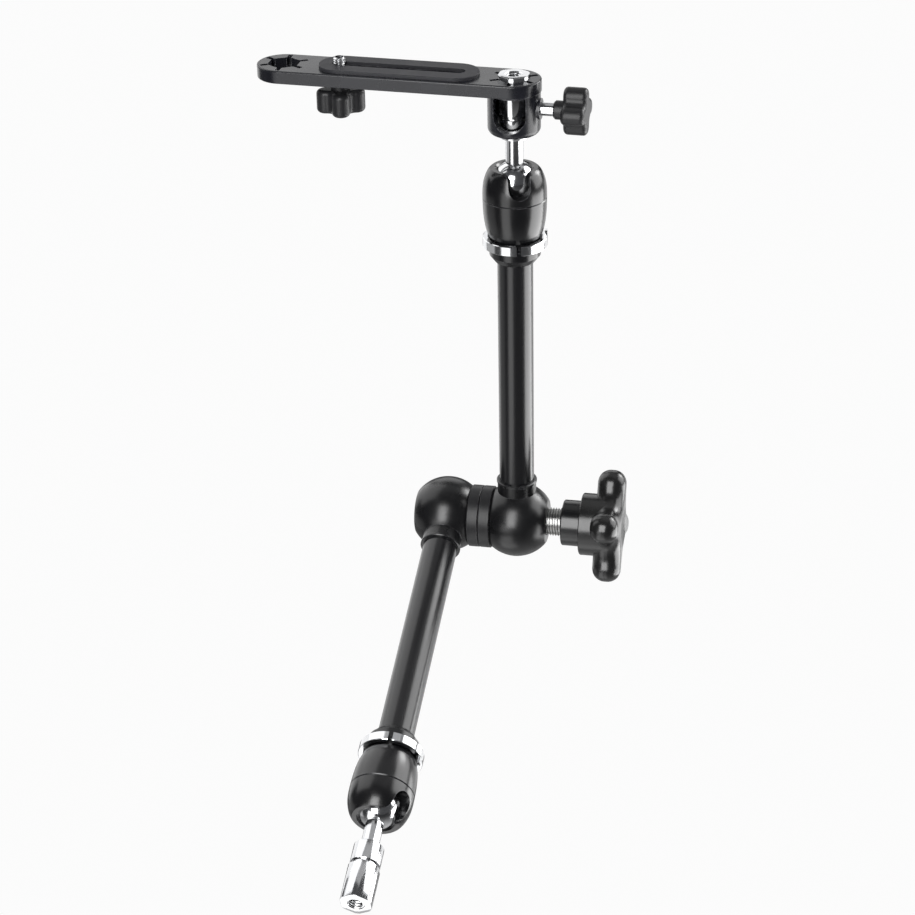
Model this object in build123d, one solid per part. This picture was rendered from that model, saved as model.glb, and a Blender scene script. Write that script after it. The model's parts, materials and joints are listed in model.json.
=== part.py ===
from build123d import *
import math
import os

os.makedirs("parts", exist_ok=True)

# Millimetres. Each arm section is drawn along +Z from its elbow ball centre, then moved to its place.
# The frame: X along the elbow axis towards the palm knob, Z along the upper section,
# Y away from the viewer.

# Clearances between pieces.
running_gap = 0.05
sliding_gap = 0.1
seat_gap = 0.3
face_gap = 0.05
star_clear = 0.2
thread_gap = 0.1

# Small edge breaks: chamfers on turned pieces, rounds on cast and moulded ones.
turned_break = 0.5
fine_break = 0.35
cast_round = 0.8
small_knob_round = 2.4
palm_edge_round = 7.2

# Pose of the two sections, and the angles of slots and ring slits about each section's own axis.
elbow_angle = 110.0
upper_slot_angle = -70.5
lower_slot_angle = 30.5
upper_gap_angle = -73.5
lower_gap_angle = 85.0
upper_tang_angle = 6.5
lower_tang_angle = 10.0
bracket_yaw = -3.0

# Elbow: from the seam between the discs to each ball centre, the balls, their cups and the bolt.
elbow_offset = 20.0
ball_end_r = 21.3
ball_end_flat = 17.6
disc_r = 17.65
disc_t = 6.5
cup_wall = 1.15
cup_lip_out = 0.45
cup_lip_h = 1.5
cup_end = 26.2
bolt_r = 8.0
bolt_head_r = 10.2
bolt_head_h = 6.0
bolt_head_inset = 0.2

# Tube and push rod.
tube_r = 9.7
tube_wall = 2.5
tube_start = 11.0
tube_length = 159.0
rod_r = 4.0
rod_clear = 1.2
rod_in_seat = 0.8

# Collar on the tube's end: the tube's depth in it, the height of its cone and land, and its spigot.
collar_depth = 10.2
collar_cone_h = 3.6
collar_small_r = 11.1
collar_big_r = 13.9
collar_land_out = 0.55
collar_land_start = 9.4
collar_land_h = 2.4
collar_web = 2.0
spigot_r = 11.5
spigot_wall = 3.0
spigot_length = 13.4
seat_depth = 7.0

# Split retaining ring round the collar's land.
ring_below = 0.4
ring_h = 5.4
ring_proud = 0.15
ring_gap_w = 2.4
tang_w = 3.0
tang_t = 1.2
tang_out = 3.6
tang_root = 1.5
tang_inset = 0.1

# Ball housing, as distances from the ball centre: back to the seam, forward to the rim.
ball_ahead = 20.5
seam_back = 9.0
rim_ahead = 7.9
slot_floor_back = 5.0
housing_wall = 5.7
housing_foot_out = 0.7
neck_r = 13.4
neck_h = 2.25
joint_lip = 3.0
joint_lip_wall = 2.5
seam_break = 0.4
rim_w = 2.2
mouth_r = 10.4
mouth_h = 1.1
slot_w = 11.9
slot_flare = 2.5

# Ball stud.
stud_ball_r = 11.5
stud_neck_r = 4.75
stud_neck_length = 25.0
stud_r = 8.0
shoulder_h = 11.5
shoulder_break = 0.7
groove_w = 2.0
groove_depth = 1.0
hex_af = 16.0
hex_h = 21.4
end_chamfer = 0.9
thread_hole_r = 3.97
thread_hole_depth = 14.0

# Thrust collar and palm knob along the elbow axis, from the upper ball's outer flat.
collar_gap = 9.0
thrust_length = 10.6
thrust_r = 13.0
hub_length = 7.8
hub_r = 17.65
palm_t = 16.0
palm_r = 31.8
palm_tip_r = 8.4
palm_turn = -25.0
dish_r = 36.0
dish_depth = 2.0
bolt_in_palm = 3.0
knob_travel = 4.0

# Bracket: from the top of the upper stud, and from its axis.
stud_proud = 2.3
plate_t = 7.2
plate_half_w = 14.6
star_distance = 125.9
star_notch_w = 2.6
star_notch_r = 13.2
clamp_r = 14.1
clamp_h = 30.2
clamp_round = 3.6
clamp_bore_r = 9.5
window_half_w = 8.75
window_sill = 3.7
window_lintel = 0.6
pad_near = 18.7
pad_far = 106.0
pad_half_w = 12.5
pad_t = 1.8
pad_round = 0.4
slot_near = 26.1
slot_far = 98.9
plate_slot_w = 6.9

# Camera screw, clamp screw and small knobs.
camera_screw_distance = 95.0
camera_screw_r = 3.175
camera_shank_r = 2.9
camera_screw_proud = 5.3
camera_knob_turn = 16.0
camera_hub_length = 4.2
washer_r = 6.4
washer_t = 1.0
small_knob_r = 13.0
small_tip_r = 4.9
small_waist_r = 8.25
small_knob_h = 12.8
small_hub_r = 5.05
small_hub_break = 0.9
knob_cover = 3.5
clamp_screw_drop = 16.1
clamp_screw_r = 3.5
clamp_boss_wall = 2.2
clamp_boss_out = 0.6
clamp_hub_gap = 6.9
clamp_hub_length = 5.3
pressure_pad_r = 2.9
pressure_pad_t = 1.6

# Length of tools that cut right through.
through = 60.0

# Stations along a section, from its elbow ball centre.
tube_bore_r = tube_r - tube_wall
tube_end = tube_start + tube_length
collar_start = tube_end - collar_depth
collar_shoulder = collar_start + collar_land_start
collar_land_r = collar_big_r + collar_land_out
collar_top = collar_shoulder + collar_land_h
spigot_end = collar_top + spigot_length
seat_r = spigot_r - spigot_wall
ring_start = collar_shoulder - ring_below
ring_end = ring_start + ring_h
ring_inner_r = collar_land_r + sliding_gap
neck_top = collar_top + face_gap + neck_h
ball_centre = spigot_end + ball_ahead
seam = ball_centre - seam_back
rim = ball_centre + rim_ahead
slot_floor = ball_centre - slot_floor_back
shoulder_start = ball_centre + stud_neck_length
groove_start = shoulder_start + shoulder_h
hex_start = groove_start + groove_w
stud_end = hex_start + hex_h
plate_top = stud_end - stud_proud
plate_bottom = plate_top - plate_t
clamp_bottom = plate_top - clamp_h
clamp_screw_z = plate_top - clamp_screw_drop
hub_top = plate_bottom - face_gap - washer_t
knob_top = hub_top - camera_hub_length
thread_start = plate_top + pad_t + thread_gap
camera_screw_top = plate_top + camera_screw_proud

# Stations along the elbow axis, from the seam between the discs.
collar_x = elbow_offset + ball_end_flat + collar_gap
hub_x = collar_x + thrust_length
lobe_x = hub_x + hub_length
knob_end_x = lobe_x + palm_t
bolt_end_x = lobe_x + bolt_in_palm

# Other derived sizes.
hex_half = hex_af / 2
hex_corner = hex_half / math.cos(math.pi / 6)
socket_r = stud_ball_r + sliding_gap
housing_r = socket_r + housing_wall
housing_foot_r = neck_r + housing_foot_out
joint_lip_r = socket_r + joint_lip_wall
rim_r = mouth_r + rim_w
ring_r = housing_r + ring_proud
ring_t = ring_r - ring_inner_r
cup_r = tube_r + face_gap + cup_wall
slot_end_r = plate_slot_w / 2
palm_round = min(palm_edge_round, palm_tip_r * 0.86, palm_t * 0.45)

# Places in the frame. The origin is the middle of the lower stud's threaded hole.
origin_station = stud_end - thread_hole_depth / 2
lower_tilt = math.radians(elbow_angle)
lower_dir = Vector(0, -math.sin(lower_tilt), math.cos(lower_tilt))
origin_point = Vector(-elbow_offset, 0, 0) + lower_dir * origin_station
to_frame = Pos(-origin_point.X, -origin_point.Y, -origin_point.Z)
upper_place = to_frame * Pos(elbow_offset, 0, 0)
lower_place = to_frame * Pos(-elbow_offset, 0, 0) * Rot(elbow_angle, 0, 0)
bracket_place = upper_place * Rot(0, 0, bracket_yaw)


def bar(radius, start, end):
    """Solid cylinder along Z."""
    return Pos(0, 0, start) * Cylinder(radius, end - start, align=(Align.CENTER, Align.CENTER, Align.MIN))


def sleeve(outer, inner, start, end):
    """Hollow cylinder along Z."""
    return bar(outer, start, end) - bar(inner, start - 1, end + 1)


def cross_bar(radius, start, end):
    """Solid cylinder along X."""
    return Rot(0, 90, 0) * bar(radius, start, end)


def circles(body):
    """The body's round edges."""
    return body.edges().filter_by(GeomType.CIRCLE)


def spin(points):
    """Revolve a closed outline of (radius, station) points about Z."""
    outline = Polyline(*[(r, 0, z) for r, z in points], close=True)
    return revolve(make_face(outline), Axis.Z, 360)


def swell(start, end, shares):
    """Smooth curve between two (radius, station) points, through shares of their radius and length."""
    points = [start]
    for along, out in shares:
        points.append((start[0] + (end[0] - start[0]) * out, start[1] + (end[1] - start[1]) * along))
    points.append(end)
    return Spline(*[(r, 0, z) for r, z in points])


def hexagon(half, start, end):
    """Hexagonal bar with a flat facing +X."""
    side = RegularPolygon(half, 6, major_radius=False, rotation=30)
    return Pos(0, 0, start) * extrude(side, end - start)


def lobed_outline(radius, tip, waist):
    """Four round lobes joined by hollows that are tangent to them and come in to the waist."""
    centre = radius - tip
    diagonal = math.sqrt(2) * centre
    valley = ((tip**2 - waist**2 + diagonal * waist - centre**2)
              / (2 * waist - diagonal - 2 * tip))
    hollow = waist + valley
    share = tip / (tip + valley)
    lobes = [Vector(centre, 0).rotate(Axis.Z, 90 * k) for k in range(4)]
    dips = [Vector(hollow, 0).rotate(Axis.Z, 90 * k + 45) for k in range(4)]
    arcs = []
    for k in range(4):
        lobe, following = lobes[k], lobes[(k + 1) % 4]
        enter = lobe + (dips[k - 1] - lobe) * share
        leave = lobe + (dips[k] - lobe) * share
        turn = following + (dips[k] - following) * share
        arcs.append(ThreePointArc(enter, lobe * (radius / centre), leave))
        arcs.append(ThreePointArc(leave, dips[k] * (waist / hollow), turn))
    return make_face(Wire(arcs))


def elbow_ball(side):
    """Truncated ball with a cup for the tube; side is +1 when its outer flat faces +X."""
    inner = elbow_offset - disc_t
    ball = Sphere(ball_end_r)
    box = Box(inner + ball_end_flat, through, through, align=(Align.MIN, Align.CENTER, Align.CENTER))
    ball &= Pos(-inner, 0, 0) * box
    ball = chamfer(circles(ball).sort_by(Axis.X)[-1], turned_break)
    ball += bar(cup_r, tube_start - 3, cup_end)
    ball += bar(cup_r + cup_lip_out, cup_end - cup_lip_h, cup_end)
    ball = chamfer(circles(ball).group_by(Axis.Z)[-1], cup_lip_out)
    ball -= bar(tube_r + face_gap, tube_start, cup_end + 1)
    ball -= bar(rod_r + sliding_gap, 0, tube_start + 1)
    if side < 0:
        ball = mirror(ball, Plane.YZ)
        ball -= cross_bar(bolt_r, -through, through)
        ball -= cross_bar(bolt_head_r, -through, -ball_end_flat + bolt_head_inset + bolt_head_h)
        return ball
    return ball - cross_bar(bolt_r + running_gap, -through, through)


def arm_collar():
    """Tapered collar: takes the tube, carries the ring, and its spigot is the housing's bearing."""
    edge = 0.4
    return spin([
        (tube_r + face_gap, collar_start),
        (collar_small_r - edge, collar_start),
        (collar_small_r, collar_start + edge),
        (collar_big_r - edge, collar_start + collar_cone_h),
        (collar_big_r, collar_start + collar_cone_h + edge),
        (collar_big_r, collar_shoulder),
        (collar_land_r, collar_shoulder),
        (collar_land_r, collar_top),
        (spigot_r, collar_top),
        (spigot_r, spigot_end),
        (seat_r + sliding_gap, spigot_end),
        (seat_r + sliding_gap, tube_end + collar_web),
        (tube_bore_r, tube_end + collar_web),
        (tube_bore_r, tube_end + face_gap),
        (tube_r + face_gap, tube_end + face_gap),
    ])


def retaining_ring(gap_angle, tang_angle):
    """Split band; one slit and a tang that lies along the housing."""
    body = sleeve(ring_r, ring_inner_r, ring_start, ring_end)
    body = chamfer(circles(body), fine_break)
    slit = Pos(ring_inner_r + ring_t / 2, 0, (ring_start + ring_end) / 2) * Box(
        ring_t * 4, ring_gap_w, ring_h * 2)
    body -= Rot(0, 0, gap_angle) * slit
    tang = Pos(ring_r - tang_t / 2 - tang_inset, 0, ring_end - tang_root) * Box(
        tang_t, tang_w, tang_out + tang_root, align=(Align.CENTER, Align.CENTER, Align.MIN))
    return body + Rot(0, 0, tang_angle) * tang


def housing_barrel():
    """Rear half of the ball housing."""
    bore = spigot_r + running_gap
    lip_r = joint_lip_r - face_gap
    foot = (housing_foot_r, neck_top + turned_break)
    crest = (housing_r, seam - seam_break)
    start = Polyline(
        (lip_r, 0, seam), (lip_r, 0, seam + joint_lip), (bore, 0, seam + joint_lip),
        (bore, 0, collar_top + face_gap), (neck_r, 0, collar_top + face_gap), (neck_r, 0, neck_top),
        (housing_foot_r - turned_break, 0, neck_top), (foot[0], 0, foot[1]))
    side = swell(foot, crest, ((0.138, 0.344), (0.349, 0.672), (0.648, 0.906)))
    edge = Polyline((crest[0], 0, crest[1]), (housing_r - seam_break, 0, seam), (lip_r, 0, seam))
    return revolve(make_face(start + side + edge), Axis.Z, 360)


def slot_outline():
    """Tilt slot seen from its side: round floor, straight walls and a flared mouth."""
    half = slot_w / 2
    floor_z = slot_floor + half
    flare_z = rim - slot_flare
    turn = slot_flare * (1 - math.sqrt(0.5))
    top = rim + 3
    return make_face(
        Polyline((0, half, floor_z), (0, half, flare_z))
        + ThreePointArc((0, half, flare_z), (0, half + turn, rim - turn), (0, half + slot_flare, rim))
        + Polyline((0, half + slot_flare, rim), (0, half + slot_flare, top),
                   (0, -half - slot_flare, top), (0, -half - slot_flare, rim))
        + ThreePointArc((0, -half - slot_flare, rim), (0, -half - turn, rim - turn), (0, -half, flare_z))
        + Line((0, -half, flare_z), (0, -half, floor_z))
        + ThreePointArc((0, -half, floor_z), (0, 0, slot_floor), (0, half, floor_z)))


def housing_cap(slot_angle):
    """Mouth half of the ball housing: round socket, flared mouth and one tilt slot."""
    lip_top = seam + joint_lip + face_gap
    crest = (housing_r, seam + face_gap + seam_break)
    start = Polyline((rim_r, 0, rim), (0, 0, rim), (0, 0, lip_top), (joint_lip_r, 0, lip_top),
                     (joint_lip_r, 0, seam + face_gap), (housing_r - seam_break, 0, seam + face_gap),
                     (crest[0], 0, crest[1]))
    side = swell(crest, (rim_r, rim),
                 ((0.2145, 0.011), (0.4924, 0.117), (0.746, 0.383), (0.9154, 0.702)))
    body = revolve(make_face(start + side), Axis.Z, 360)
    body -= Pos(0, 0, ball_centre) * Sphere(socket_r)
    throat_z = rim - mouth_h
    throat_r = math.sqrt(socket_r**2 - (throat_z - ball_centre) ** 2)
    body -= spin([(0, throat_z - 2), (throat_r, throat_z - 0.001), (mouth_r, rim),
                  (mouth_r, rim + 1), (0, rim + 1)])
    return body - Rot(0, 0, slot_angle) * extrude(slot_outline(), housing_r * 1.5, dir=(1, 0, 0))


def ball_seat():
    """Cup that bears on the ball, guided in the collar's spigot."""
    foot = spigot_end - seat_depth
    body = bar(seat_r, foot, ball_centre - stud_ball_r / 2)
    body -= Pos(0, 0, ball_centre) * Sphere(stud_ball_r + seat_gap)
    return body - bar(rod_r + sliding_gap, foot - 1, spigot_end + rod_in_seat + sliding_gap * 2)


def push_rod():
    """Rod between the elbow bolt and the seat."""
    body = bar(rod_r, bolt_r + rod_clear, spigot_end + rod_in_seat)
    return chamfer(circles(body), turned_break)


def ball_stud():
    """Ball, neck, round shoulder, groove and hexagonal spigot with a threaded hole."""
    body = Pos(0, 0, ball_centre) * Sphere(stud_ball_r)
    body += bar(stud_neck_r, ball_centre + stud_ball_r / 2, shoulder_start + 1)
    body += spin([(0, shoulder_start), (stud_r - shoulder_break, shoulder_start),
                  (stud_r, shoulder_start + shoulder_break), (stud_r, groove_start - 0.3),
                  (stud_r - 0.3, groove_start), (0, groove_start)])
    body += bar(stud_r - groove_depth, groove_start, hex_start)
    spigot = hexagon(hex_half, hex_start, stud_end)
    body += spigot & spin([
        (0, hex_start), (hex_corner - end_chamfer, hex_start),
        (hex_corner, hex_start + end_chamfer * 0.6), (hex_corner, stud_end - end_chamfer * 0.9),
        (hex_corner - end_chamfer * 1.4, stud_end), (0, stud_end)])
    body -= bar(thread_hole_r, stud_end - thread_hole_depth, stud_end + 1)
    mouth = thread_hole_r + turned_break
    return body - spin([(0, stud_end - turned_break), (thread_hole_r, stud_end - turned_break),
                        (mouth, stud_end), (mouth, stud_end + 1), (0, stud_end + 1)])


def small_knob(bore_r, hub):
    """Four-lobe knob along +Z with a blind bore and a hub below its base."""
    body = extrude(lobed_outline(small_knob_r, small_tip_r, small_waist_r), small_knob_h)
    rims = body.edges().group_by(Axis.Z)
    body = fillet(rims[-1] + rims[0], small_knob_round)
    stem = bar(small_hub_r, -hub, 1)
    body += chamfer(circles(stem).sort_by(Axis.Z)[0], small_hub_break)
    return body - bar(bore_r, -hub - 1, small_knob_h - knob_cover)


def long_outline(near, far, end_r):
    """Long shape with round ends, from near to far on the -X side of the stud's axis."""
    left, right = end_r - far, -near - end_r
    shape = Pos((left + right) / 2, 0) * Rectangle(right - left, end_r * 2)
    return shape + Pos(left, 0) * Circle(end_r) + Pos(right, 0) * Circle(end_r)


def star_cut(start, end):
    """Hexagonal hole with a radial notch at each corner."""
    body = hexagon(hex_half + star_clear, start, end)
    notch = Box(star_notch_r, star_notch_w, end - start, align=(Align.MIN, Align.CENTER, Align.MIN))
    notch &= bar(star_notch_r, 0, end - start)
    for k in range(6):
        body += Pos(0, 0, start) * Rot(0, 0, 30 + 60 * k) * notch
    return body


def bracket_casting():
    """Plate and clamp cylinder in one piece, with the long slot, two star holes and a window."""
    plate = extrude(long_outline(-plate_half_w, star_distance + plate_half_w, plate_half_w), plate_t)
    plate = fillet(plate.edges().group_by(Axis.Z)[-1] + plate.edges().group_by(Axis.Z)[0], cast_round)
    body = Pos(0, 0, plate_bottom) * plate
    barrel = bar(clamp_r, clamp_bottom, plate_bottom + 1)
    body += fillet(circles(barrel).sort_by(Axis.Z)[0], min(clamp_round, (clamp_r - clamp_bore_r) * 0.85))
    boss = cross_bar(clamp_screw_r + clamp_boss_wall, (clamp_r + clamp_bore_r) / 2,
                     clamp_r + clamp_boss_out)
    body += Pos(0, 0, clamp_screw_z) * boss
    body -= bar(clamp_bore_r, clamp_bottom - 1, plate_bottom)
    body -= star_cut(plate_bottom - 1, plate_top + 1)
    body -= Pos(-star_distance, 0, 0) * star_cut(plate_bottom - 1, plate_top + 1)
    slot = extrude(long_outline(slot_near, slot_far, slot_end_r), plate_t + 2)
    body -= Pos(0, 0, plate_bottom - 1) * slot
    sill = clamp_bottom + window_sill + window_half_w
    window = Rot(90, 0, 0) * bar(window_half_w, 0, clamp_r + 1)
    window += Box(window_half_w * 2, clamp_r + 1, plate_bottom - window_lintel - sill,
                  align=(Align.CENTER, Align.MAX, Align.MIN))
    body -= Pos(0, 0, sill) * window
    return body - Pos(0, 0, clamp_screw_z) * cross_bar(clamp_screw_r + running_gap, 0, clamp_r + 3)


def rubber_pad():
    """Pad on the plate, with the same slot."""
    outline = long_outline(pad_near, pad_far, pad_half_w)
    outline -= long_outline(slot_near, slot_far, slot_end_r)
    body = extrude(outline, pad_t)
    top = body.faces().sort_by(Axis.Z)[-1]
    return Pos(0, 0, plate_top) * fillet(top.outer_wire().edges(), pad_round)


def palm_knob():
    """Large knob along X: hub, four lobes, hollowed outer face and a blind bore."""
    outline = lobed_outline(palm_r, palm_tip_r, hub_r)
    body = extrude(Plane.YZ * Rot(0, 0, palm_turn) * outline, palm_t, dir=(1, 0, 0))
    body = fillet(body.edges().group_by(Axis.X)[-1], palm_round)
    body = fillet(body.edges().group_by(Axis.X)[0], palm_round)
    body = Pos(lobe_x, 0, 0) * body
    body -= Pos(knob_end_x + dish_r - dish_depth, 0, 0) * Sphere(dish_r)
    hub = cross_bar(hub_r, hub_x, lobe_x + palm_round)
    body += chamfer(circles(hub).sort_by(Axis.X)[0], turned_break)
    return body - cross_bar(bolt_r + running_gap, hub_x - 1, bolt_end_x + knob_travel + 1)


def elbow_bolt():
    """Bolt pressed into the lower ball; its head lies in the ball's outer flat."""
    left = -elbow_offset - ball_end_flat + bolt_head_inset
    body = cross_bar(bolt_r, left + 1, bolt_end_x)
    body = chamfer(circles(body).sort_by(Axis.X)[-1], turned_break * 2)
    head = cross_bar(bolt_head_r, left, left + bolt_head_h)
    return body + chamfer(circles(head).sort_by(Axis.X)[0], turned_break)


def elbow_disc():
    """Friction disc on the +X side of the seam."""
    body = cross_bar(disc_r, face_gap, disc_t)
    return chamfer(circles(body), turned_break)


def thrust_collar():
    """Plain collar between the upper ball and the palm knob's hub."""
    body = cross_bar(thrust_r, collar_x, hub_x - face_gap)
    return chamfer(circles(body), turned_break) - cross_bar(bolt_r + running_gap, collar_x - 1, hub_x + 1)


def camera_screw():
    """Screw with a plain shank through the slot and a thicker threaded end above the pad."""
    foot = knob_top - small_knob_h + knob_cover
    body = bar(camera_shank_r, foot, thread_start + 0.5)
    end = bar(camera_screw_r, thread_start, camera_screw_top)
    return body + chamfer(circles(end).sort_by(Axis.Z)[-1], turned_break)


parts = {}

# Pieces that both sections have.
for name, place, stud_place, side, slot_angle, gap_angle, tang_angle in (
        ("lower", lower_place, lower_place, -1, lower_slot_angle, lower_gap_angle, lower_tang_angle),
        ("upper", upper_place, bracket_place, 1, upper_slot_angle, upper_gap_angle, upper_tang_angle)):
    parts[name + "_elbow"] = place * elbow_ball(side)
    parts[name + "_tube"] = place * sleeve(tube_r, tube_bore_r, tube_start, tube_end)
    parts[name + "_rod"] = place * push_rod()
    parts[name + "_seat"] = place * ball_seat()
    parts[name + "_collar"] = place * arm_collar()
    parts[name + "_ring"] = place * retaining_ring(gap_angle, tang_angle)
    parts[name + "_barrel"] = place * housing_barrel()
    parts[name + "_cap"] = place * housing_cap(slot_angle)
    parts[name + "_stud"] = stud_place * ball_stud()

# Elbow: two discs, bolt, thrust collar and palm knob.
disc = elbow_disc()
parts["upper_disc"] = to_frame * (disc - cross_bar(bolt_r + running_gap, -1, disc_t + 1))
parts["lower_disc"] = to_frame * (mirror(disc, Plane.YZ) - cross_bar(bolt_r, -disc_t - 1, 1))
parts["elbow_bolt"] = to_frame * elbow_bolt()
parts["thrust_collar"] = to_frame * thrust_collar()
parts["palm_knob"] = to_frame * palm_knob()

# Camera bracket with its pad, camera screw, washer and knob.
parts["bracket"] = bracket_place * bracket_casting()
parts["pad"] = bracket_place * rubber_pad()
screw_place = bracket_place * Pos(-camera_screw_distance, 0, 0)
parts["camera_screw"] = screw_place * camera_screw()
parts["camera_knob"] = (screw_place * Pos(0, 0, knob_top) * Rot(180, 0, -camera_knob_turn)
                        * small_knob(camera_shank_r, camera_hub_length))
parts["camera_washer"] = screw_place * sleeve(washer_r, camera_shank_r + running_gap, hub_top,
                                              hub_top + washer_t)

# Clamp screw with its pressure pad and knob.
side_axis = bracket_place * Pos(0, 0, clamp_screw_z) * Rot(0, 90, 0)
pad_face = hex_half + face_gap
screw_start = pad_face + pressure_pad_t + face_gap
clamp_knob_x = clamp_r + clamp_boss_out + clamp_hub_gap + clamp_hub_length
clamp_end = clamp_knob_x + small_knob_h - knob_cover
parts["clamp_pad"] = side_axis * bar(pressure_pad_r, pad_face, pad_face + pressure_pad_t)
parts["clamp_screw"] = side_axis * bar(clamp_screw_r, screw_start, clamp_end)
parts["clamp_knob"] = side_axis * Pos(0, 0, clamp_knob_x) * small_knob(clamp_screw_r, clamp_hub_length)

for name, shape in parts.items():
    solids = shape.solids()
    print(name, len(solids), round(sum(s.volume for s in solids)))
    export_step(solids[0] if len(solids) == 1 else shape, "parts/" + name + ".step")
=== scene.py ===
import json
import math

import bmesh
import bpy
from mathutils import Matrix, Vector


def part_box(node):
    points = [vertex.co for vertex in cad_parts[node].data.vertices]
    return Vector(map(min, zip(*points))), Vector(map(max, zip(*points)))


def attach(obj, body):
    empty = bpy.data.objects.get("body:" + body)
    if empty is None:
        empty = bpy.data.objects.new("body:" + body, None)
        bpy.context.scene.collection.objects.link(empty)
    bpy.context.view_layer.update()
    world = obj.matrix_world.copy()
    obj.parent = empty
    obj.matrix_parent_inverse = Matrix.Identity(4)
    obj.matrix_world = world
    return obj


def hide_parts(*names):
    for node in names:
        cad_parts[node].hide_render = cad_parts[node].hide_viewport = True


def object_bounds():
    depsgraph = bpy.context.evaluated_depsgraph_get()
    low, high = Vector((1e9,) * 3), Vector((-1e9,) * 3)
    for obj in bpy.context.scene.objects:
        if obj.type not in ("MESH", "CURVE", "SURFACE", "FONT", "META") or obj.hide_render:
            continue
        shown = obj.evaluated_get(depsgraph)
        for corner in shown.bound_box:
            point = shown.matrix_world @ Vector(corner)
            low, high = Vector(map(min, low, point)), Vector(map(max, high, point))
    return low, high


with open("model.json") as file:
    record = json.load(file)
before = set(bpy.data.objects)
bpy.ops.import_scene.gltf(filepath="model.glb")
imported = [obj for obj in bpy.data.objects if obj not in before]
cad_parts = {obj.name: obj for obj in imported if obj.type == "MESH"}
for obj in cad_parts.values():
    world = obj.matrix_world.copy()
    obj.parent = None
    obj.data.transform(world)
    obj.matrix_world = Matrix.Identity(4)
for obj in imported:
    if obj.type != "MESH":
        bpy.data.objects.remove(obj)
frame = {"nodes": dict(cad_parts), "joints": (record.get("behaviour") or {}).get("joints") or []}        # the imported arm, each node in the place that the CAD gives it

nodes = frame["nodes"]
joints = {joint["name"]: joint for joint in frame["joints"]}
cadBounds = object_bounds()
mm = 0.001
print("stage: frame loaded,", len(nodes), "nodes")

# Camera, at the angle and distance from which the photo was taken.
photoCamera = {
    "azimuth": 11.54,            # degrees to the right of straight ahead
    "elevation": 27.42,          # degrees above the elbow's level
    "roll": -1.10,               # degrees
    "distance": 1.477,           # metres from the target
    "targetRight": -0.0140,      # from the middle of the elbow, along the elbow axis
    "targetUp": 0.0364,
    "focalPixels": 2612.0,       # the lens, measured in pixels of the photo
    "photoPixels": 915.0,
    "sensorWidth": 36.0,         # millimetres
    "clipStart": 0.05,
    "clipEnd": 50.0,
}


def makeCamera(values):
    azimuth = math.radians(values["azimuth"])
    elevation = math.radians(values["elevation"])
    roll = math.radians(values["roll"])
    elbow = Vector(joints["elbow"]["pos_m"])
    target = elbow + Vector((values["targetRight"], 0.0, values["targetUp"]))
    ahead = Vector((-math.sin(azimuth) * math.cos(elevation),
                    math.cos(azimuth) * math.cos(elevation),
                    -math.sin(elevation)))
    right = Vector((math.cos(azimuth), math.sin(azimuth), 0.0))
    up = right.cross(ahead)
    turnedRight = right * math.cos(roll) + up * math.sin(roll)
    turnedUp = up * math.cos(roll) - right * math.sin(roll)
    data = bpy.data.cameras.new("photoCamera")
    data.lens = values["focalPixels"] / values["photoPixels"] * values["sensorWidth"]
    data.sensor_width = values["sensorWidth"]
    data.clip_start = values["clipStart"]
    data.clip_end = values["clipEnd"]
    camera = bpy.data.objects.new("photoCamera", data)
    bpy.context.scene.collection.objects.link(camera)
    place = Matrix((turnedRight, turnedUp, -ahead)).transposed().to_4x4()
    place.translation = target - ahead * values["distance"]
    camera.matrix_world = place
    bpy.context.scene.camera = camera


makeCamera(photoCamera)
print("stage: camera placed")

# Shared effects, as shader node groups.


def newGroup(name, inputs, outputs):
    group = bpy.data.node_groups.new(name, "ShaderNodeTree")
    for label, kind, value in inputs:
        socket = group.interface.new_socket(name=label, in_out="INPUT", socket_type=kind)
        if value is not None:
            socket.default_value = value
    for label, kind in outputs:
        group.interface.new_socket(name=label, in_out="OUTPUT", socket_type=kind)
    enter = group.nodes.new("NodeGroupInput")
    leave = group.nodes.new("NodeGroupOutput")
    return group, enter, leave


def addMath(tree, operation, first, second, clamp=False):
    node = tree.nodes.new("ShaderNodeMath")
    node.operation = operation
    node.use_clamp = clamp
    for socket, value in zip(node.inputs, (first, second)):
        if isinstance(value, (int, float)):
            socket.default_value = value
        else:
            tree.links.new(value, socket)
    return node.outputs[0]


def addRange(tree, value, fromMin, fromMax, toMin=0.0, toMax=1.0):
    node = tree.nodes.new("ShaderNodeMapRange")
    tree.links.new(value, node.inputs["Value"])
    for label, amount in (("From Min", fromMin), ("From Max", fromMax),
                          ("To Min", toMin), ("To Max", toMax)):
        if isinstance(amount, (int, float)):
            node.inputs[label].default_value = amount
        else:
            tree.links.new(amount, node.inputs[label])
    return node.outputs["Result"]


def addNoise(tree, vector, scale, detail, roughness=0.55):
    node = tree.nodes.new("ShaderNodeTexNoise")
    tree.links.new(vector, node.inputs["Vector"])
    if isinstance(scale, (int, float)):
        node.inputs["Scale"].default_value = scale
    else:
        tree.links.new(scale, node.inputs["Scale"])
    node.inputs["Detail"].default_value = detail
    node.inputs["Roughness"].default_value = roughness
    return node.outputs["Fac"]


edgeWearValues = {
    "samples": 6,
    "sameWay": 0.995, "turnedAway": 0.90,      # face against rounded one: wear starts, wear is full
    "patchDetail": 4.0, "patchLow": 0.38, "patchHigh": 0.62,
}


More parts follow.
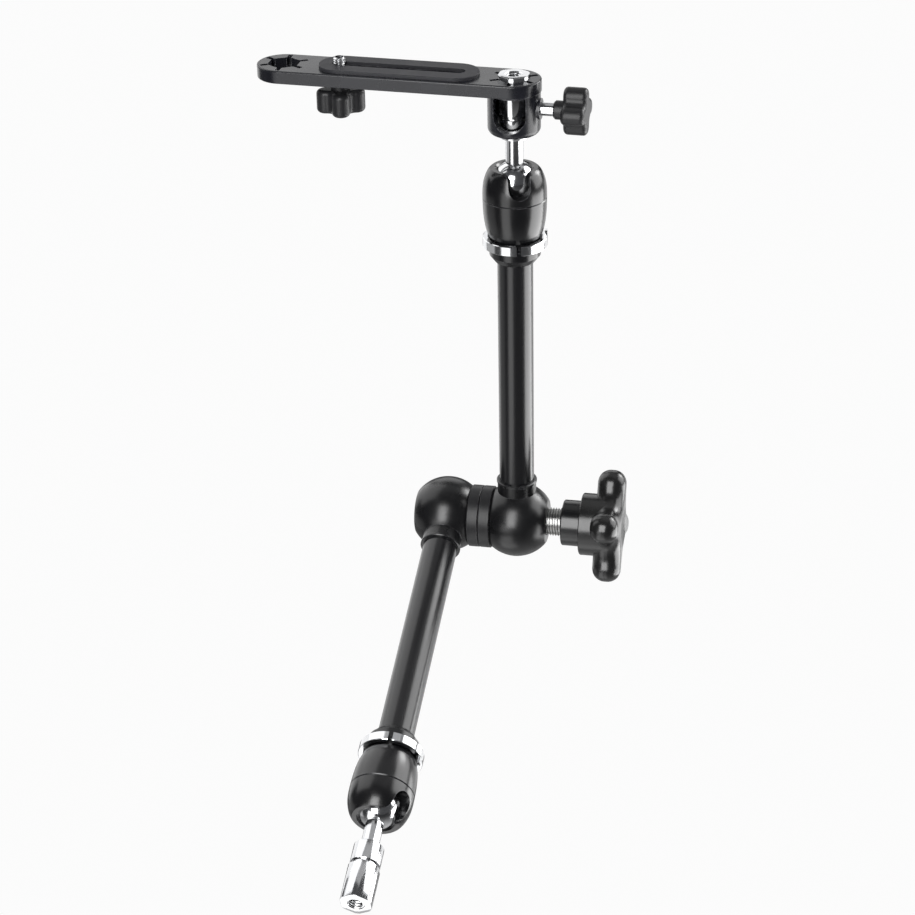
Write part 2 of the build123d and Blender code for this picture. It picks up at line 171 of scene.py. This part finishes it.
def makeEdgeWear(values):
    # finds sharp outer edges by comparing the face with a rounded one, and breaks the line up
    group, enter, leave = newGroup(
        "edgeWear",
        [("Vector", "NodeSocketVector", None), ("Radius", "NodeSocketFloat", 0.0006),
         ("Amount", "NodeSocketFloat", 0.6), ("Breakup", "NodeSocketFloat", 300.0)],
        [("Mask", "NodeSocketFloat")])
    rounded = group.nodes.new("ShaderNodeBevel")
    rounded.samples = values["samples"]
    group.links.new(enter.outputs["Radius"], rounded.inputs["Radius"])
    surface = group.nodes.new("ShaderNodeNewGeometry")
    dot = group.nodes.new("ShaderNodeVectorMath")
    dot.operation = "DOT_PRODUCT"
    group.links.new(rounded.outputs["Normal"], dot.inputs[0])
    group.links.new(surface.outputs["Normal"], dot.inputs[1])
    edge = addRange(group, dot.outputs["Value"], values["sameWay"], values["turnedAway"])
    patches = addNoise(group, enter.outputs["Vector"], enter.outputs["Breakup"],
                       values["patchDetail"])
    broken = addRange(group, patches, values["patchLow"], values["patchHigh"])
    mask = addMath(group, "MULTIPLY", edge, broken)
    mask = addMath(group, "MULTIPLY", mask, enter.outputs["Amount"], clamp=True)
    group.links.new(mask, leave.inputs["Mask"])
    return group


grainValues = {"detail": 3.0, "broadTimes": 28.0}      # the broad pattern is so many times coarser


def makeGrain(values):
    # fine surface relief with a broad, faint unevenness over it
    group, enter, leave = newGroup(
        "surfaceGrain",
        [("Vector", "NodeSocketVector", None), ("Scale", "NodeSocketFloat", 2500.0),
         ("Strength", "NodeSocketFloat", 0.15), ("Depth", "NodeSocketFloat", 0.00004)],
        [("Normal", "NodeSocketVector"), ("Broad", "NodeSocketFloat")])
    fine = addNoise(group, enter.outputs["Vector"], enter.outputs["Scale"], values["detail"])
    broadScale = addMath(group, "DIVIDE", enter.outputs["Scale"], values["broadTimes"])
    broad = addNoise(group, enter.outputs["Vector"], broadScale, values["detail"])
    bump = group.nodes.new("ShaderNodeBump")
    group.links.new(enter.outputs["Strength"], bump.inputs["Strength"])
    group.links.new(enter.outputs["Depth"], bump.inputs["Distance"])
    group.links.new(fine, bump.inputs["Height"])
    group.links.new(bump.outputs["Normal"], leave.inputs["Normal"])
    group.links.new(broad, leave.inputs["Broad"])
    return group


toolMarkValues = {"detail": 5.0, "roughness": 0.7}


def makeToolMarks(values):
    # lines left by turning or drawing: noise stretched across the tool's path
    group, enter, leave = newGroup(
        "toolMarks",
        [("Vector", "NodeSocketVector", None), ("Strength", "NodeSocketFloat", 0.2),
         ("Depth", "NodeSocketFloat", 0.00002)],
        [("Normal", "NodeSocketVector"), ("Lines", "NodeSocketFloat")])
    lines = addNoise(group, enter.outputs["Vector"], 1.0, values["detail"], values["roughness"])
    bump = group.nodes.new("ShaderNodeBump")
    group.links.new(enter.outputs["Strength"], bump.inputs["Strength"])
    group.links.new(enter.outputs["Depth"], bump.inputs["Distance"])
    group.links.new(lines, bump.inputs["Height"])
    group.links.new(bump.outputs["Normal"], leave.inputs["Normal"])
    group.links.new(lines, leave.inputs["Lines"])
    return group


def makeLatheRound():
    # for pieces turned about the elbow axis: place along it, and distance from it
    group, enter, leave = newGroup("latheRound", [("Vector", "NodeSocketVector", None)],
                                   [("Path", "NodeSocketVector")])
    elbow = Vector(joints["elbow"]["pos_m"])
    centred = group.nodes.new("ShaderNodeVectorMath")
    centred.operation = "SUBTRACT"
    group.links.new(enter.outputs["Vector"], centred.inputs[0])
    centred.inputs[1].default_value = elbow
    across = group.nodes.new("ShaderNodeVectorMath")
    across.operation = "MULTIPLY"
    group.links.new(centred.outputs["Vector"], across.inputs[0])
    across.inputs[1].default_value = (0.0, 1.0, 1.0)
    reach = group.nodes.new("ShaderNodeVectorMath")
    reach.operation = "LENGTH"
    group.links.new(across.outputs["Vector"], reach.inputs[0])
    split = group.nodes.new("ShaderNodeSeparateXYZ")
    group.links.new(centred.outputs["Vector"], split.inputs["Vector"])
    joined = group.nodes.new("ShaderNodeCombineXYZ")
    group.links.new(split.outputs["X"], joined.inputs["X"])
    group.links.new(reach.outputs["Value"], joined.inputs["Y"])
    group.links.new(joined.outputs["Vector"], leave.inputs["Path"])
    return group


edgeWear = makeEdgeWear(edgeWearValues)
latheRound = makeLatheRound()
surfaceGrain = makeGrain(grainValues)
toolMarks = makeToolMarks(toolMarkValues)
print("stage: shared effects built")

# Finishes. Their colour and roughness use this part of the noise's range.
patternSpan = {"colour": (0.3, 0.7), "roughness": (0.25, 0.75)}


def startFinish(name, values):
    material = bpy.data.materials.new(name)
    material.use_nodes = True
    tree = material.node_tree
    shader = tree.nodes["Principled BSDF"]
    shader.inputs["Metallic"].default_value = values["metallic"]
    shader.inputs["Specular IOR Level"].default_value = values["specular"]
    place = tree.nodes.new("ShaderNodeTexCoord")
    return material, tree, shader, place.outputs["Object"]


def placeGroup(tree, group, vector, **values):
    node = tree.nodes.new("ShaderNodeGroup")
    node.node_tree = group
    tree.links.new(vector, node.inputs["Vector"])
    for label, amount in values.items():
        node.inputs[label].default_value = amount
    return node


def mixColour(tree, factor, first, second):
    node = tree.nodes.new("ShaderNodeMix")
    node.data_type = "RGBA"
    tree.links.new(factor, node.inputs["Factor"])
    for socket, value in ((node.inputs["A"], first), (node.inputs["B"], second)):
        if isinstance(value, tuple):
            socket.default_value = (*value, 1.0)
        else:
            tree.links.new(value, socket)
    return node.outputs["Result"]


def linkSurface(tree, shader, vector, values, pattern, normal):
    # colour and roughness follow one pattern, and the edges are worn
    wear = placeGroup(tree, edgeWear, vector, Radius=values["edgeRadius"],
                      Amount=values["edgeAmount"], Breakup=values["edgeBreakup"])
    mottle = addRange(tree, pattern, *patternSpan["colour"])
    colour = mixColour(tree, mottle, values["dark"], values["light"])
    colour = mixColour(tree, wear.outputs["Mask"], colour, values["worn"])
    tree.links.new(colour, shader.inputs["Base Color"])
    rough = addRange(tree, pattern, *patternSpan["roughness"],
                     values["roughness"] - values["roughnessSpread"],
                     values["roughness"] + values["roughnessSpread"])
    tree.links.new(rough, shader.inputs["Roughness"])
    tree.links.new(normal, shader.inputs["Normal"])


def paintedFinish(name, values):
    # paint, moulded plastic or rubber, with a fine grain
    material, tree, shader, vector = startFinish(name, values)
    grain = placeGroup(tree, surfaceGrain, vector, Scale=values["grainScale"],
                       Strength=values["grainStrength"], Depth=values["grainDepth"])
    linkSurface(tree, shader, vector, values, grain.outputs["Broad"], grain.outputs["Normal"])
    return material


def turnedFinish(name, values):
    # metal or painted metal, with tool lines round or along one axis
    material, tree, shader, vector = startFinish(name, values)
    path = placeGroup(tree, latheRound, vector).outputs["Path"] if values["round"] else vector
    mapping = tree.nodes.new("ShaderNodeMapping")
    mapping.vector_type = "TEXTURE"          # turns first and stretches after, as the marks lie
    tree.links.new(path, mapping.inputs["Vector"])
    mapping.inputs["Rotation"].default_value = values["turn"]
    mapping.inputs["Scale"].default_value = [1.0 / amount for amount in values["marksPerMetre"]]
    marks = placeGroup(tree, toolMarks, mapping.outputs["Vector"],
                       Strength=values["markStrength"], Depth=values["markDepth"])
    linkSurface(tree, shader, vector, values, marks.outputs["Lines"], marks.outputs["Normal"])
    return material


lowerTilt = math.radians(20.0)      # how far the lower section falls from level
alongUpper = {
    "round": False, "turn": (0.0, 0.0, 0.0), "marksPerMetre": (1500.0, 1500.0, 12.0),
}
alongLower = {
    "round": False, "turn": (lowerTilt, 0.0, 0.0), "marksPerMetre": (1500.0, 12.0, 1500.0),
}
roundX = {
    "round": True, "turn": (0.0, 0.0, 0.0), "marksPerMetre": (2200.0, 2200.0, 1.0),
}

tubeFinish = {
    "metallic": 0.0, "specular": 0.5,
    "dark": (0.0045, 0.0045, 0.005), "light": (0.007, 0.007, 0.008), "worn": (0.16, 0.16, 0.17),
    "roughness": 0.25, "roughnessSpread": 0.03, "markStrength": 0.05, "markDepth": 0.000006,
    "edgeRadius": 0.0005, "edgeAmount": 0.5, "edgeBreakup": 400.0,
}
enamelFinish = {
    "metallic": 0.0, "specular": 0.5,
    "dark": (0.0025, 0.0025, 0.003), "light": (0.0045, 0.0045, 0.005), "worn": (0.16, 0.16, 0.17),
    "grainScale": 1400.0, "grainStrength": 0.10, "grainDepth": 0.00003,
    "roughness": 0.24, "roughnessSpread": 0.03,
    "edgeRadius": 0.0006, "edgeAmount": 0.45, "edgeBreakup": 350.0,
}
ballFinish = dict(enamelFinish, roughness=0.29, roughnessSpread=0.04, specular=0.45,
                  grainScale=2000.0, grainStrength=0.16)
discFinish = {
    "metallic": 0.0, "specular": 0.33,
    "dark": (0.007, 0.007, 0.008), "light": (0.012, 0.012, 0.013), "worn": (0.12, 0.12, 0.125),
    "roughness": 0.42, "roughnessSpread": 0.06, "markStrength": 0.25, "markDepth": 0.00003,
    "edgeRadius": 0.0006, "edgeAmount": 0.6, "edgeBreakup": 400.0,
}
castFinish = {
    "metallic": 0.0, "specular": 0.36,
    "dark": (0.006, 0.0063, 0.0085), "light": (0.010, 0.0105, 0.014), "worn": (0.20, 0.20, 0.21),
    "grainScale": 1900.0, "grainStrength": 0.12, "grainDepth": 0.00004,
    "roughness": 0.27, "roughnessSpread": 0.04,
    "edgeRadius": 0.0007, "edgeAmount": 0.6, "edgeBreakup": 300.0,
}
plasticFinish = {
    "metallic": 0.0, "specular": 0.5,
    "dark": (0.006, 0.006, 0.006), "light": (0.010, 0.010, 0.010), "worn": (0.05, 0.05, 0.05),
    "grainScale": 2600.0, "grainStrength": 0.05, "grainDepth": 0.00001,
    "roughness": 0.25, "roughnessSpread": 0.04,
    "edgeRadius": 0.0005, "edgeAmount": 0.3, "edgeBreakup": 300.0,
}
smallKnobFinish = dict(plasticFinish, roughness=0.40, specular=0.30,
                       grainScale=2200.0, grainStrength=0.20,
                       dark=(0.009, 0.009, 0.010), light=(0.014, 0.014, 0.015))
padFinish = {
    "metallic": 0.0, "specular": 0.35,
    "dark": (0.012, 0.012, 0.015), "light": (0.019, 0.019, 0.023), "worn": (0.06, 0.06, 0.065),
    "grainScale": 2600.0, "grainStrength": 0.55, "grainDepth": 0.00006,
    "roughness": 0.58, "roughnessSpread": 0.06,
    "edgeRadius": 0.0006, "edgeAmount": 0.4, "edgeBreakup": 500.0,
}
chromeFinish = {
    "metallic": 1.0, "specular": 0.5,
    "dark": (0.56, 0.57, 0.58), "light": (0.64, 0.64, 0.65), "worn": (0.75, 0.75, 0.75),
    "roughness": 0.15, "roughnessSpread": 0.03, "markStrength": 0.05, "markDepth": 0.000006,
    "edgeRadius": 0.0004, "edgeAmount": 0.4, "edgeBreakup": 500.0,
}
screwFinish = dict(chromeFinish, roughness=0.27, roughnessSpread=0.05)
steelFinish = dict(chromeFinish, dark=(0.25, 0.25, 0.245), light=(0.38, 0.38, 0.375),
                   roughness=0.30, roughnessSpread=0.07, markStrength=0.3, markDepth=0.00003)

finishes = {
    "upperTube": turnedFinish("upperTube", dict(tubeFinish, **alongUpper)),
    "lowerTube": turnedFinish("lowerTube", dict(tubeFinish, **alongLower)),
    "enamel": paintedFinish("housingEnamel", enamelFinish),
    "ball": paintedFinish("ballPaint", ballFinish),
    "disc": turnedFinish("discFaces", dict(discFinish, **roundX)),
    "cast": paintedFinish("castPaint", castFinish),
    "palmPlastic": paintedFinish("palmPlastic", plasticFinish),
    "smallKnobPlastic": paintedFinish("smallKnobPlastic", smallKnobFinish),
    "padRubber": paintedFinish("padRubber", padFinish),
    "chromeUpper": turnedFinish("chromeUpper", dict(chromeFinish, **alongUpper)),
    "chromeLower": turnedFinish("chromeLower", dict(chromeFinish, **alongLower)),
    "screwChrome": turnedFinish("screwChrome", dict(screwFinish, **alongUpper)),
    "boltSteel": turnedFinish("boltSteel", dict(steelFinish, **roundX)),
    "rodSteel": turnedFinish("rodSteel", dict(steelFinish, **alongUpper)),
}

nodeFinish = {
    "upper_tube": "upperTube", "lower_tube": "lowerTube",
    "upper_barrel": "enamel", "upper_cap": "enamel", "upper_collar": "enamel",
    "lower_barrel": "enamel", "lower_cap": "enamel", "lower_collar": "enamel",
    "upper_elbow": "ball", "lower_elbow": "ball", "upper_disc": "disc", "lower_disc": "disc",
    "thrust_collar": "enamel", "palm_knob": "palmPlastic",
    "bracket": "cast", "pad": "padRubber",
    "camera_knob": "smallKnobPlastic", "clamp_knob": "smallKnobPlastic",
    "upper_stud": "chromeUpper", "lower_stud": "chromeLower",
    "upper_ring": "chromeUpper", "lower_ring": "chromeLower",
    "camera_screw": "chromeUpper", "camera_washer": "chromeUpper",
    "clamp_screw": "chromeUpper", "clamp_pad": "boltSteel", "elbow_bolt": "boltSteel",
    "upper_rod": "rodSteel", "upper_seat": "rodSteel",
    "lower_rod": "rodSteel", "lower_seat": "rodSteel",
}
for name, finish in nodeFinish.items():
    slots = nodes[name].data.materials
    slots.clear()
    slots.append(finishes[finish])
print("stage: finishes placed on", len(nodeFinish), "nodes")

# Turned pieces with cut threads, each made about Z and then laid along its own axis.
upperAxis = Vector((0.0, 0.0, 1.0))
lowerAxis = Vector((0.0, -math.cos(lowerTilt), -math.sin(lowerTilt)))
elbowAxis = Vector((1.0, 0.0, 0.0))
bracketAcross = Vector(joints["camera_slide"]["axis"])
weldDistance = 1e-7
cutDistance = 1e-8
levelDistance = 1e-6        # ends nearer than this to a height lie at it
levelNormal = 0.9           # a face that looks this much along Z is an end face
turnSteps = 96
threadSteps = 48            # round one turn of a thread
# one pitch of a V thread's edge, in shares of the pitch, with a flat at root and crest
threadForm = (("root", 0.0), ("root", 0.125), ("crest", 0.4375), ("crest", 0.5625),
              ("root", 0.875), ("root", 1.0))


def turnProfile(mesh, points, steps=turnSteps):
    # a line of (radius, height) points, swept once round
    verts = [mesh.verts.new((radius, 0.0, height)) for radius, height in points]
    edges = [mesh.edges.new(pair) for pair in zip(verts, verts[1:])]
    bmesh.ops.spin(mesh, geom=verts + edges, cent=(0, 0, 0), axis=(0, 0, 1),
                   angle=math.tau, steps=steps, use_merge=True)
    bmesh.ops.remove_doubles(mesh, verts=mesh.verts[:], dist=weldDistance)


def openLoop(mesh, height):
    # the open edges that lie at one height
    return [edge for edge in mesh.edges if edge.is_boundary
            and all(abs(vert.co.z - height) < levelDistance for vert in edge.verts)]


def fillEnd(mesh, height):
    # closes the end between all open edges at one height
    bmesh.ops.triangle_fill(mesh, edges=openLoop(mesh, height), use_beauty=True, normal=(0, 0, 1))


def cutAway(mesh, point, facing):
    # cuts the mesh with a plane and drops what lies in front of it
    bmesh.ops.bisect_plane(mesh, geom=mesh.verts[:] + mesh.edges[:] + mesh.faces[:],
                           dist=cutDistance, plane_co=point, plane_no=facing, clear_outer=True)


def windThread(mesh, crest, root, pitch, low, high):
    # the thread's edge, wound up the axis and cut square at both ends
    radii = {"crest": crest, "root": root}
    turns = math.ceil((high - low) / pitch) + 2
    verts = [mesh.verts.new((radii[part], 0.0, low - pitch + share * pitch))
             for part, share in threadForm]
    edges = [mesh.edges.new(pair) for pair in zip(verts, verts[1:])]
    bmesh.ops.spin(mesh, geom=verts + edges, cent=(0, 0, 0), axis=(0, 0, 1),
                   dvec=(0.0, 0.0, pitch / threadSteps), angle=math.tau * turns,
                   steps=threadSteps * turns)
    bmesh.ops.remove_doubles(mesh, verts=mesh.verts[:], dist=weldDistance)
    for height, side in ((low, -1.0), (high, 1.0)):
        cutAway(mesh, (0, 0, height), (0, 0, side))


def threadedRod(crest, root, pitch, low, high, leadIn):
    # a closed length of outside thread that narrows over its last turn
    mesh = bmesh.new()
    windThread(mesh, crest, root, pitch, low, high)
    for height in (low, high):
        bmesh.ops.edgeloop_fill(mesh, edges=openLoop(mesh, height))
    for vert in mesh.verts:
        reach = Vector((vert.co.x, vert.co.y)).length
        most = crest - leadIn + high - vert.co.z
        if reach > most:
            vert.co.x *= most / reach
            vert.co.y *= most / reach
    return mesh


def threadSleeve(crest, root, pitch, low, high, outer):
    # a closed sleeve with the thread inside, its outside hidden in the metal round the hole
    mesh = bmesh.new()
    windThread(mesh, crest, root, pitch, low, high)
    turnProfile(mesh, ((outer, low), (outer, high)))
    for height in (low, high):
        fillEnd(mesh, height)
    return mesh


def joinMeshes(target, *others):
    # moves the other meshes into the first one
    for other in others:
        data = bpy.data.meshes.new("part")
        other.to_mesh(data)
        other.free()
        target.from_mesh(data)
        bpy.data.meshes.remove(data)
    return target


smoothBelow = math.radians(32.0)      # sharper edges than this stay sharp


def finishPiece(mesh, name, origin, axis, across, finish):
    # lays the piece along its axis, with its own X along the second direction
    axis = axis.normalized()
    across = (across - axis * across.dot(axis)).normalized()
    place = Matrix((across, axis.cross(across), axis)).transposed().to_4x4()
    place.translation = origin
    bmesh.ops.transform(mesh, matrix=place, verts=mesh.verts[:])
    bmesh.ops.recalc_face_normals(mesh, faces=mesh.faces[:])
    for face in mesh.faces:
        face.smooth = True
    for edge in mesh.edges:
        edge.smooth = len(edge.link_faces) == 2 and edge.calc_face_angle() < smoothBelow
    data = bpy.data.meshes.new(name)
    mesh.to_mesh(data)
    mesh.free()
    data.materials.append(finishes[finish])
    piece = bpy.data.objects.new(name, data)
    bpy.context.scene.collection.objects.link(piece)
    return piece


# Both ball studs, measured from the centre of the ball.
ballStud = {
    "ballRadius": 11.5 * mm, "ballSteps": 30, "neckRadius": 4.75 * mm,
    "rootFillet": 1.0 * mm, "filletSteps": 5,
    "shoulderRadius": 8.0 * mm, "shoulderStart": 25.0 * mm, "shoulderBreak": 0.7 * mm,
    "breakMiddle": 0.3,              # how deep the rounded edge's middle lies, as a share of it
    "grooveRadius": 7.0 * mm, "grooveStart": 36.5 * mm, "grooveBreak": 0.3 * mm,
    "hexStart": 38.5 * mm, "end": 59.75 * mm, "endBreak": 0.4 * mm, "endSteps": 2,
    "flats": 6, "acrossFlats": 16.0 * mm, "cornerRadius": 8.5 * mm, "cornerSteps": 180,
    "holeRadius": 4.15 * mm, "holeDepth": 14.0 * mm,
    "mouthRadius": 4.6 * mm, "mouthDepth": 0.6 * mm,
    "mouthFree": 0.7,                # share of the mouth's depth above the thread
    "threadCrest": 3.50 * mm, "threadRoot": 4.05 * mm, "threadOuter": 4.4 * mm,
    "threadPitch": 1.5875 * mm,
}


def makeStudBody(values):
    # ball, neck, shoulder and groove, from pole to pole
    ball, neck, ballSteps = values["ballRadius"], values["neckRadius"], values["ballSteps"]
    meeting = math.pi - math.asin(neck / ball)
    points = [(0.0, -ball)]
    for step in range(1, ballSteps + 1):
        turn = meeting * step / ballSteps
        points.append((ball * math.sin(turn), -ball * math.cos(turn)))
    fillet, start, steps = values["rootFillet"], values["shoulderStart"], values["filletSteps"]
    for step in range(steps + 1):
        turn = math.radians(90.0 / steps * step)
        points.append((neck + fillet * (1.0 - math.cos(turn)),
                       start - fillet + fillet * math.sin(turn)))
    shoulder, edge = values["shoulderRadius"], values["shoulderBreak"]
    middle = edge * values["breakMiddle"]
    groove, grooveStart, lip = values["grooveRadius"], values["grooveStart"], values["grooveBreak"]
    top = values["hexStart"] + lip
    points += [(shoulder - edge, start), (shoulder - middle, start + middle),
               (shoulder, start + edge), (shoulder, grooveStart - lip),
               (shoulder - lip, grooveStart), (groove, grooveStart), (groove, top), (0.0, top)]
    mesh = bmesh.new()
    turnProfile(mesh, points)
    return mesh


def makeSpigot(values):
    # round bar with flats milled on it, so that narrow round corners are left
    low, high = values["hexStart"], values["end"]
    mesh = bmesh.new()
    bmesh.ops.create_cone(mesh, cap_ends=True, cap_tris=False, segments=values["cornerSteps"],
                          radius1=values["cornerRadius"], radius2=values["cornerRadius"],
                          depth=high - low)
    bmesh.ops.translate(mesh, verts=mesh.verts[:], vec=(0, 0, (low + high) / 2.0))
    for side in range(values["flats"]):
        turn = math.radians(360.0 / values["flats"] * side)
        facing = Vector((math.cos(turn), math.sin(turn), 0.0))
        cutAway(mesh, facing * values["acrossFlats"] / 2.0, facing)
        bmesh.ops.edgeloop_fill(mesh, edges=[edge for edge in mesh.edges if edge.is_boundary])
    caps = [face for face in mesh.faces if abs(face.normal.z) > levelNormal]
    rims = [edge for face in caps for edge in face.edges]
    bmesh.ops.bevel(mesh, geom=rims, offset=values["endBreak"], segments=values["endSteps"],
                    profile=0.5, affect="EDGES", material=-1, clamp_overlap=True)
    mesh.normal_update()
    top = [face for face in mesh.faces if face.normal.z > levelNormal
           and abs(face.calc_center_median().z - high) < levelDistance]
    bmesh.ops.delete(mesh, geom=top, context="FACES_ONLY")
    mouth, hole = values["mouthRadius"], values["holeRadius"]
    floor = high - values["holeDepth"]
    turnProfile(mesh, ((mouth, high), (hole, high - values["mouthDepth"]),
                       (hole, floor), (0.0, floor)))
    fillEnd(mesh, high)
    return mesh


def makeStud(values, name, node, body, joint, axis, across, finish):
    threadTop = values["end"] - values["mouthDepth"] * values["mouthFree"]
    thread = threadSleeve(values["threadCrest"], values["threadRoot"], values["threadPitch"],
                          values["end"] - values["holeDepth"], threadTop, values["threadOuter"])
    mesh = joinMeshes(makeStudBody(values), makeSpigot(values), thread)
    piece = finishPiece(mesh, name, Vector(joints[joint]["pos_m"]), axis, across, finish)
    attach(piece, body)
    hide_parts(node)


makeStud(ballStud, "cameraStud", "upper_stud", "head", "upper_tilt",
         upperAxis, bracketAcross, "chromeUpper")
makeStud(ballStud, "baseStud", "lower_stud", "base_stud", "lower_tilt",
         lowerAxis, elbowAxis, "chromeLower")
print("stage: ball studs made")

cameraScrew = {
    "crest": 3.175 * mm, "root": 2.58 * mm, "pitch": 1.27 * mm, "leadIn": 0.75 * mm,
    "shankRadius": 2.9 * mm, "threadLength": 3.4 * mm, "edgeBreak": 0.3 * mm, "steps": 64,
}


def makeCameraScrew(values):
    low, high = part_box("camera_screw")
    middle = Vector(((low[0] + high[0]) / 2.0, (low[1] + high[1]) / 2.0, 0.0))
    start = high[2] - values["threadLength"]
    shank, edge = values["shankRadius"], values["edgeBreak"]
    mesh = bmesh.new()
    turnProfile(mesh, ((0.0, low[2]), (shank, low[2]), (shank, start), (shank - edge, start + edge),
                       (0.0, start + edge)), values["steps"])
    thread = threadedRod(values["crest"], values["root"], values["pitch"],
                         start, high[2], values["leadIn"])
    piece = finishPiece(joinMeshes(mesh, thread), "cameraScrew", middle,
                        upperAxis, elbowAxis, "screwChrome")
    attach(piece, "camera_screw")
    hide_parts("camera_screw")


makeCameraScrew(cameraScrew)

elbowBolt = {
    "crest": 8.0 * mm, "root": 7.05 * mm, "pitch": 1.5 * mm, "leadIn": 1.0 * mm,
    "headRadius": 10.2 * mm, "headHeight": 6.0 * mm, "headBreak": 0.5 * mm,
    "threadStart": 34.0 * mm,        # from the seam between the discs
}


def makeElbowBolt(values):
    low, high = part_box("elbow_bolt")
    seam = Vector(joints["elbow"]["pos_m"])
    left, right = low[0] - seam.x, high[0] - seam.x
    head, edge, under = values["headRadius"], values["headBreak"], left + values["headHeight"]
    crest, root, start = values["crest"], values["root"], values["threadStart"]
    mesh = bmesh.new()
    turnProfile(mesh, ((0.0, left), (head - edge, left), (head, left + edge), (head, under),
                       (crest, under), (crest, start), (root, start + crest - root),
                       (0.0, start + crest - root)))
    thread = threadedRod(crest, root, values["pitch"], start, right, values["leadIn"])
    piece = finishPiece(joinMeshes(mesh, thread), "elbowBolt", seam,
                        elbowAxis, upperAxis, "boltSteel")
    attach(piece, "lower_arm")
    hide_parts("elbow_bolt")


makeElbowBolt(elbowBolt)
print("stage: screw and bolt made")

# Floor and light.
studio = {
    "floorDrop": 1.1, "floorHalf": 14.0, "floorRoughness": 0.9,
    "paper": (0.97, 0.97, 0.97),           # floor and backdrop as the camera sees them
    "dimFloor": (0.42, 0.42, 0.42),        # floor and room as the arm reflects them
    "roomColour": (0.085, 0.086, 0.09),
    "aimAbove": 0.05,                      # the lamps point at a place above the elbow
    "lamps": [
        # name, azimuth from +X, elevation, distance, width, height, brightness
        ("rightPanel", 12.0, -25.0, 1.2, 1.30, 0.80, 6.5),
        ("rightRearPanel", 24.0, 26.0, 1.3, 1.15, 1.12, 4.2),
        ("rightSpot", 48.0, 28.0, 1.2, 0.40, 0.40, 9.0),
        ("rightBackPanel", 66.0, -22.0, 1.5, 0.90, 1.00, 1.1),
        ("leftKeyUpper", -99.0, 24.0, 1.3, 0.60, 1.20, 9.0),
        ("leftKeyLower", -113.0, -22.0, 1.3, 0.70, 1.15, 2.1),
        ("leftRearPanel", 155.0, 38.0, 1.4, 1.40, 1.35, 1.7),
        ("leftRearLower", 138.0, -8.0, 1.4, 1.00, 1.10, 1.3),
        ("leftLowPanel", -178.0, -26.0, 1.4, 1.00, 0.60, 0.5),
        ("backPanel", 100.0, 20.0, 1.6, 1.05, 0.85, 1.25),
        ("lowFrontPanel", -120.0, -62.0, 1.27, 0.75, 0.75, 1.4),
        ("topPanel", 75.0, 74.0, 1.3, 1.20, 1.10, 0.45),
    ],
}


def makeFloor(values):
    lowest = cadBounds[0][2]
    mesh = bmesh.new()
    bmesh.ops.create_grid(mesh, x_segments=1, y_segments=1, size=values["floorHalf"])
    bmesh.ops.translate(mesh, verts=mesh.verts, vec=(0.0, 0.0, lowest - values["floorDrop"]))
    data = bpy.data.meshes.new("studioFloor")
    mesh.to_mesh(data)
    mesh.free()
    floor = bpy.data.objects.new("studioFloor", data)
    bpy.context.scene.collection.objects.link(floor)
    material = bpy.data.materials.new("floorPaper")
    material.use_nodes = True
    tree = material.node_tree
    shader = tree.nodes["Principled BSDF"]
    shader.inputs["Base Color"].default_value = (*values["dimFloor"], 1.0)
    shader.inputs["Roughness"].default_value = values["floorRoughness"]
    glow = tree.nodes.new("ShaderNodeEmission")
    glow.inputs["Color"].default_value = (*values["paper"], 1.0)
    seen = tree.nodes.new("ShaderNodeLightPath")
    mix = tree.nodes.new("ShaderNodeMixShader")
    tree.links.new(seen.outputs["Is Camera Ray"], mix.inputs["Fac"])
    tree.links.new(shader.outputs["BSDF"], mix.inputs[1])
    tree.links.new(glow.outputs["Emission"], mix.inputs[2])
    tree.links.new(mix.outputs["Shader"], tree.nodes["Material Output"].inputs["Surface"])
    data.materials.append(material)


def makeWorld(values):
    world = bpy.data.worlds.new("studioWorld")
    world.use_nodes = True
    tree = world.node_tree
    sky = tree.nodes["Background"]
    seen = tree.nodes.new("ShaderNodeLightPath")
    mix = tree.nodes.new("ShaderNodeMix")
    mix.data_type = "RGBA"
    mix.inputs["A"].default_value = (*values["roomColour"], 1.0)
    mix.inputs["B"].default_value = (*values["paper"], 1.0)
    tree.links.new(seen.outputs["Is Camera Ray"], mix.inputs["Factor"])
    tree.links.new(mix.outputs["Result"], sky.inputs["Color"])
    bpy.context.scene.world = world


def makeLamps(values):
    middle = Vector(joints["elbow"]["pos_m"]) + Vector((0.0, 0.0, values["aimAbove"]))
    for name, azimuth, elevation, distance, width, height, brightness in values["lamps"]:
        lamp = bpy.data.lights.new(name, "AREA")
        lamp.shape = "RECTANGLE"
        lamp.size = width
        lamp.size_y = height
        lamp.energy = brightness * math.pi * width * height
        holder = bpy.data.objects.new(name, lamp)
        bpy.context.scene.collection.objects.link(holder)
        turn, up = math.radians(azimuth), math.radians(elevation)
        offset = Vector((math.cos(turn) * math.cos(up), math.sin(turn) * math.cos(up),
                         math.sin(up)))
        holder.location = middle + offset * distance
        holder.rotation_euler = (-offset).to_track_quat("-Z", "Y").to_euler()
        holder.visible_camera = False


makeFloor(studio)
makeWorld(studio)
makeLamps(studio)
bpy.context.scene.view_settings.view_transform = "Standard"
print("stage: studio built")
